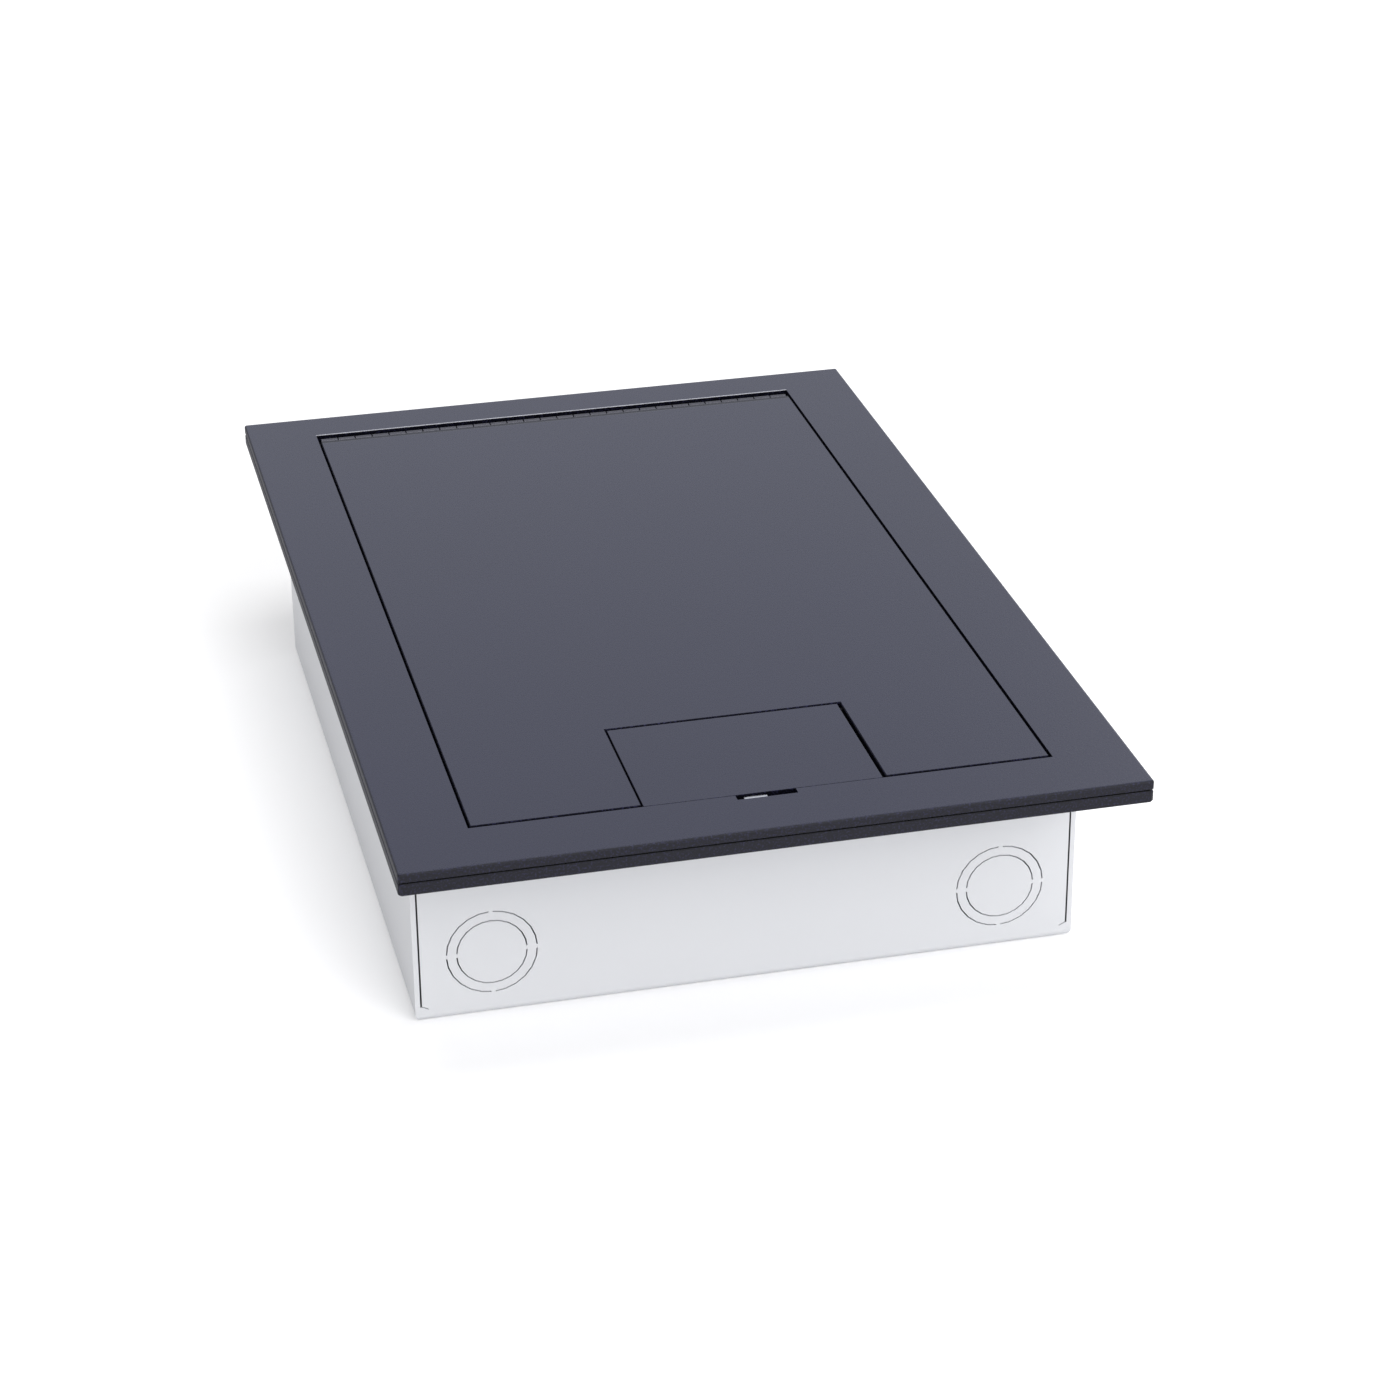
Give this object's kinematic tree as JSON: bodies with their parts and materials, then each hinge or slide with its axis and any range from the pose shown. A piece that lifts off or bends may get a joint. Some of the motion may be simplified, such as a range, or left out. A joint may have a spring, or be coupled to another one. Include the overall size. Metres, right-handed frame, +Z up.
{
  "type": "floor socket box",
  "caption": "Recessed floor box: folded steel tub under a two-plate flange, lid on a piano hinge, cable flap with sliding latch, power and data outlets inside.",
  "frame": {"origin": "underside of the tub's floor, below the centre of the flange", "axes": "+Z up through the lid, +Y from the cable flap to the lid's hinge, +X to the right seen from the flap's end"},
  "size_m": [0.215, 0.33, 0.0714],
  "materials": {
    "charcoal_coat": "fine-textured powder coat",
    "tub_coat": "smooth pale grey coat",
    "zinc_sheet": "zinc-plated sheet",
    "zinc_steel": "zinc-plated",
    "bright_steel": "bare, satin",
    "black_rubber": "matt",
    "white_moulding": "gloss",
    "grey_moulding": "moulded",
    "brass": "turned and pressed"
  },
  "bodies": {
    "box": {"base_frame": "charcoal_coat", "trim_frame": "charcoal_coat", "tub": "tub_coat", "accessory_carrier": "zinc_sheet", "compartment_divider": "zinc_sheet", "frame_screws": "zinc_steel", "tub_screws": "zinc_steel", "carrier_screws": "zinc_steel", "socket_plate_screws": "zinc_steel", "data_plate_screws": "zinc_steel", "hinge_leaf_fixed": "bright_steel", "hinge_pin": "bright_steel", "ledge_pads": "black_rubber", "socket_plate": "white_moulding", "data_plate": "white_moulding", "data_module_1": "white_moulding", "data_module_2": "white_moulding", "data_module_3": "white_moulding", "data_module_4": "white_moulding", "socket_housing": "grey_moulding", "socket_shutters": "grey_moulding", "socket_contacts": "brass", "socket_terminals": "brass", "earth_stud": "brass", "earth_washers": "brass", "earth_nuts": "brass"},
    "latch": {"latch_slide": "bright_steel"},
    "lid": {"lid_plate": "charcoal_coat", "hinge_leaf_moving": "bright_steel", "lid_hinge_screws": "zinc_steel"},
    "flap": {"cable_flap": "charcoal_coat", "flap_pivot_left": "bright_steel", "flap_pivot_right": "bright_steel", "flap_keeper": "bright_steel"},
    "left_rocker": {"rocker_left": "white_moulding"},
    "right_rocker": {"rocker_right": "white_moulding"}
  },
  "joints": [
    {"name": "lid_hinge", "type": "hinge", "parent": "box", "child": "lid", "pos_m": [0, 0.14545, 0.06925], "axis": [-1, 0, 0], "range_deg": [0, 115]},
    {"name": "flap_hinge", "type": "hinge", "parent": "lid", "child": "flap", "pos_m": [0, -0.0977, 0.0698], "axis": [-1, 0, 0], "range_deg": [0, 105]},
    {"name": "latch_travel", "type": "slide", "parent": "box", "child": "latch", "axis": [1, 0, 0], "range_m": [0, 0.008]},
    {"name": "left_switch", "type": "hinge", "parent": "box", "child": "left_rocker", "pos_m": [-0.0095, 0.092, 0.025], "axis": [1, 0, 0], "range_deg": [0, 12]},
    {"name": "right_switch", "type": "hinge", "parent": "box", "child": "right_rocker", "pos_m": [0.0095, 0.092, 0.025], "axis": [1, 0, 0], "range_deg": [0, 12]}
  ]
}
